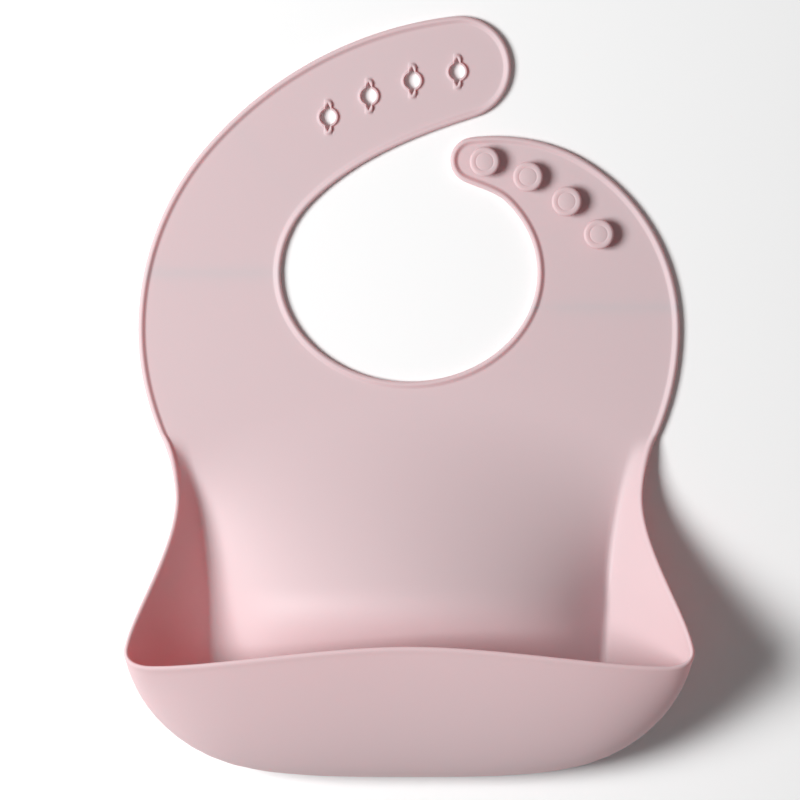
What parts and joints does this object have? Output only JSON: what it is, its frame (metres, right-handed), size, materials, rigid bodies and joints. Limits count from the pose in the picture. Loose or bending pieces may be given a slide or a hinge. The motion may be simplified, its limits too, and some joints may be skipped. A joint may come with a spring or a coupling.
{
  "type": "silicone feeding bib",
  "caption": "Soft silicone feeding bib with a deep catch pocket, round neck opening, and a slotted strap that fastens over the studs of the other.",
  "frame": {"origin": "centre of the neck opening, in the plane of the flat back", "axes": "+X to the right of someone looking at the front, +Y from the pocket to the straps, +Z out of the front"},
  "size_m": [0.2311, 0.3093, 0.0557],
  "materials": {
    "silicone": "matte satin food-grade silicone"
  },
  "bodies": {
    "root": {"yoke_panel": "silicone", "neckline_bead": "silicone", "side_bead_left": "silicone", "side_bead_right": "silicone", "torso_panel": "silicone", "side_wall_left": "silicone", "side_wall_right": "silicone", "side_wall_bead_left": "silicone", "side_wall_bead_right": "silicone", "side_fold_left": "silicone", "side_fold_right": "silicone", "side_fold_bead_left": "silicone", "side_fold_bead_right": "silicone", "pocket_base": "silicone", "front_fold": "silicone", "slot_strap_root_band": "silicone", "stud_strap_root_band": "silicone"},
    "pocket_mouth": {"pocket_front": "silicone", "lip_bead": "silicone"},
    "slot_strap_lower": {"slot_strap_shoulder": "silicone", "slot_strap_shoulder_bead": "silicone", "slot_strap_mid_band": "silicone"},
    "slot_strap_upper": {"slot_strap_end": "silicone", "slot_strap_end_bead": "silicone", "slot_collar_1": "silicone", "slot_collar_2": "silicone", "slot_collar_3": "silicone", "slot_collar_4": "silicone"},
    "stud_strap_body": {"stud_strap": "silicone", "stud_strap_bead": "silicone", "stud_1": "silicone", "stud_2": "silicone", "stud_3": "silicone", "stud_4": "silicone"}
  },
  "joints": [
    {"name": "pocket_flex", "type": "hinge", "parent": "root", "child": "pocket_mouth", "pos_m": [0, -0.203, 0.002], "axis": [1, 0, 0], "range_deg": [-15, 25], "stiffness_Nm_per_rad": 0.4, "deforming": ["front_fold", "side_fold_left", "side_fold_right", "side_fold_bead_left", "side_fold_bead_right"]},
    {"name": "slot_strap_bend", "type": "hinge", "parent": "root", "child": "slot_strap_lower", "pos_m": [-0.0775, 0.013, 0.0008], "axis": [1, 0, 0], "range_deg": [-60, 70], "stiffness_Nm_per_rad": 0.003, "deforming": ["slot_strap_root_band"]},
    {"name": "slot_strap_curl", "type": "hinge", "parent": "slot_strap_lower", "child": "slot_strap_upper", "pos_m": [-0.0466, 0.0516, 0.0008], "axis": [0.6561, -0.7547, 0], "range_deg": [-60, 70], "stiffness_Nm_per_rad": 0.003, "deforming": ["slot_strap_mid_band"]},
    {"name": "stud_strap_bend", "type": "hinge", "parent": "root", "child": "stud_strap_body", "pos_m": [0.079, -0.003, 0.0008], "axis": [1, 0, 0], "range_deg": [-60, 75], "stiffness_Nm_per_rad": 0.003, "deforming": ["stud_strap_root_band"]}
  ],
  "couplings": [
    {"joint": "slot_strap_curl", "follows": "slot_strap_bend", "ratio": 1}
  ]
}
